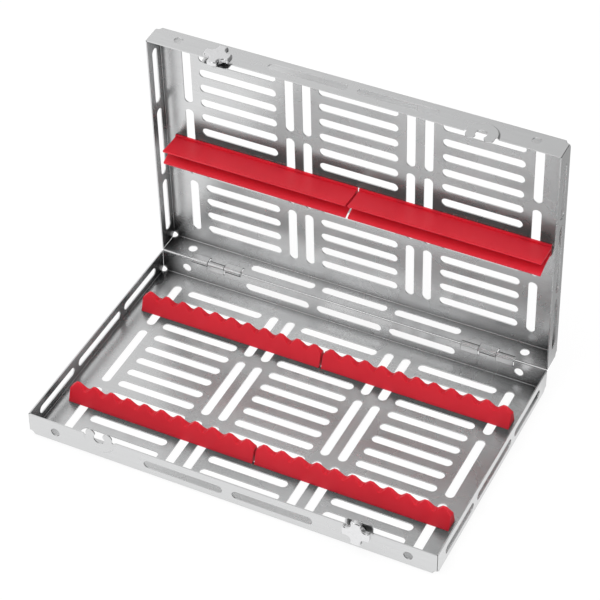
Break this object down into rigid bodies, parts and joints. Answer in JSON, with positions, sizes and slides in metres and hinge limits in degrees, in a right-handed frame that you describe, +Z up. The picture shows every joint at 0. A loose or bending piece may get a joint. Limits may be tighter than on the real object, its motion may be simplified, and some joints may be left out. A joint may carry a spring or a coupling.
{
  "type": "sterilization container",
  "caption": "Open perforated steel instrument cassette with a hinged lid, toothed silicone rails in the base, a lipped rail in the lid and quarter-turn knob latches.",
  "frame": {"origin": "middle of the open cassette's length and front-to-back reach, on the plane of the base's underside", "axes": "+X to the right along the hinge line, +Y to the rear where the open lid stands, +Z up"},
  "size_m": [0.28, 0.1996, 0.1999],
  "materials": {
    "brushed_sheet": "fine satin, folded sheet",
    "steel_wire": "drawn wire",
    "polished_steel": "bright polished casting",
    "turned_steel": "fine turned",
    "silicone": "smooth red silicone, slightly glossy"
  },
  "bodies": {
    "base": {"base_tray": "brushed_sheet", "left_hinge_pin": "steel_wire", "right_hinge_pin": "steel_wire", "front_rail_left": "silicone", "front_rail_right": "silicone", "rear_rail_left": "silicone", "rear_rail_right": "silicone"},
    "lid": {"lid_tray": "brushed_sheet", "lid_rail_left": "silicone", "lid_rail_right": "silicone"},
    "base_latch": {"base_latch_knob": "polished_steel", "base_latch_cam": "turned_steel", "base_latch_flat_washer": "turned_steel", "base_latch_spring_washer": "turned_steel", "base_latch_rivet": "turned_steel"},
    "lid_latch": {"lid_latch_knob": "polished_steel", "lid_latch_cam": "turned_steel", "lid_latch_flat_washer": "turned_steel", "lid_latch_spring_washer": "turned_steel", "lid_latch_rivet": "turned_steel"}
  },
  "joints": [
    {"name": "lid_hinge", "type": "hinge", "parent": "base", "child": "lid", "pos_m": [0, 0.08291, 0.017], "axis": [1, 0, 0], "range_deg": [-92, 88]},
    {"name": "base_latch_turn", "type": "hinge", "parent": "base", "child": "base_latch", "pos_m": [0.0887, -0.09424, 0.017], "axis": [0, 1, 0], "range_deg": [0, 90]},
    {"name": "lid_latch_turn", "type": "hinge", "parent": "lid", "child": "lid_latch", "pos_m": [-0.0887, 0.07672, 0.19404], "axis": [0, 0.0349, -0.9994], "range_deg": [0, 90]}
  ]
}
